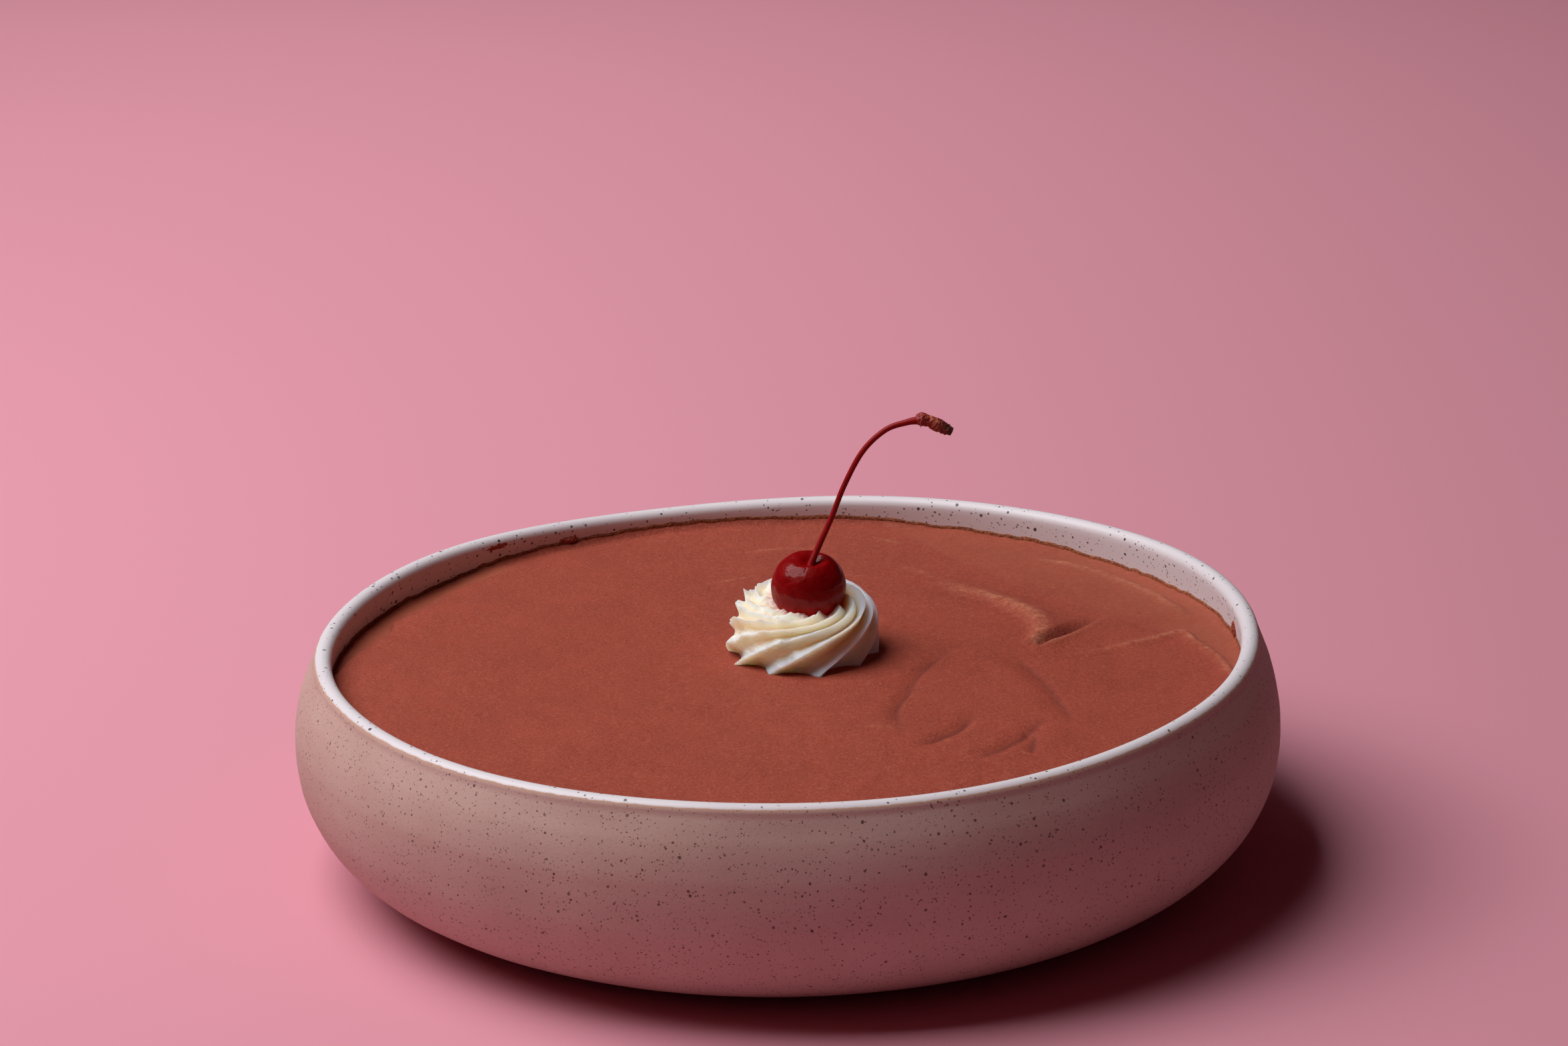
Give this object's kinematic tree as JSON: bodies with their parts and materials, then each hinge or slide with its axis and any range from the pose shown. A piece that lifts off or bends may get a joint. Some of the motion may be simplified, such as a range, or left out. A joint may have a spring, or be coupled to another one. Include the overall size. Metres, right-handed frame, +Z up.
{
  "type": "chocolate mousse in a serving bowl",
  "caption": "Round stoneware serving bowl filled almost to the rim with chocolate mousse, topped by a piped rosette of whipped cream and a cocktail cherry with its stem.",
  "frame": {"origin": "middle of the bowl's underside, on the surface it stands on", "axes": "+Z up out of the bowl, -Y towards the front, +X to the side the cherry's stem leans to"},
  "size_m": [0.25, 0.25, 0.1126],
  "materials": {
    "stoneware": "matte",
    "mousse": "matte",
    "cream": "satin",
    "cherry": "gloss",
    "stem": "satin"
  },
  "bodies": {
    "root": {"bowl": "stoneware", "mousse": "mousse", "cream_rosette": "cream", "cherry": "cherry", "cherry_stem": "stem"}
  },
  "joints": []
}
